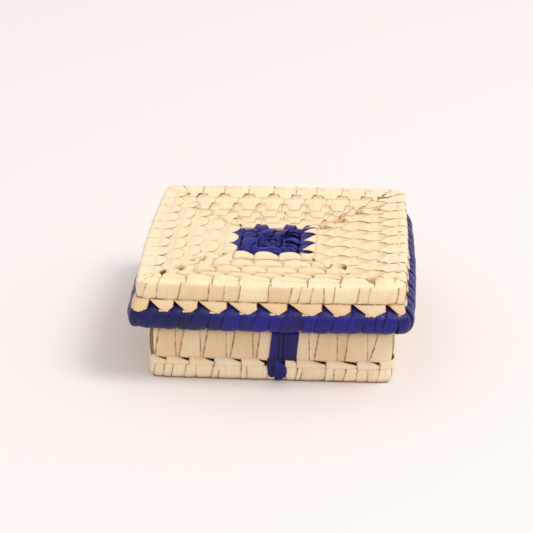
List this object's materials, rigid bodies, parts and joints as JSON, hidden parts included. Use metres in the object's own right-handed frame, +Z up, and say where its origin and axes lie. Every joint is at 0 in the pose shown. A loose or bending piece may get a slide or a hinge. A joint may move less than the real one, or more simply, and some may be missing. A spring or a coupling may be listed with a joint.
{
  "type": "woven lidded box",
  "caption": "Square keepsake box in coiled palm-leaf basketry with a lift-off slip-over lid, a blue rim round, a blue centre and a blue front stripe.",
  "frame": {"origin": "under the middle of the box, on the surface it stands on", "axes": "+Z up, -Y the front side that carries the blue stripe, +X to the right of someone who looks at the front"},
  "size_m": [0.1084, 0.1084, 0.0408],
  "materials": {
    "natural_leaf": "satin",
    "blue_leaf": "satin",
    "leaf_rib": "matte"
  },
  "bodies": {
    "box": {"floor_centre_knot": "natural_leaf", "floor_coil": "natural_leaf", "floor_bundle": "leaf_rib", "box_edge_coil": "natural_leaf", "box_edge_bundle": "leaf_rib", "stripe_edge_stitch": "blue_leaf", "wall_coil": "natural_leaf", "wall_bundle": "leaf_rib", "stripe_wall_wraps": "blue_leaf", "neck_coil": "natural_leaf", "neck_bundle": "leaf_rib", "stripe_neck_wraps": "blue_leaf"},
    "lid": {"lid_centre_knot": "blue_leaf", "lid_centre_coil": "blue_leaf", "lid_top_coil": "natural_leaf", "lid_top_bundle": "leaf_rib", "lid_edge_coil": "natural_leaf", "lid_edge_bundle": "leaf_rib", "lid_rim_coil": "blue_leaf", "lid_rim_bundle": "leaf_rib"}
  },
  "joints": [
    {"name": "lid_lift", "type": "slide", "parent": "box", "child": "lid", "axis": [0, 0, 1], "range_m": [0, 0.06]}
  ]
}
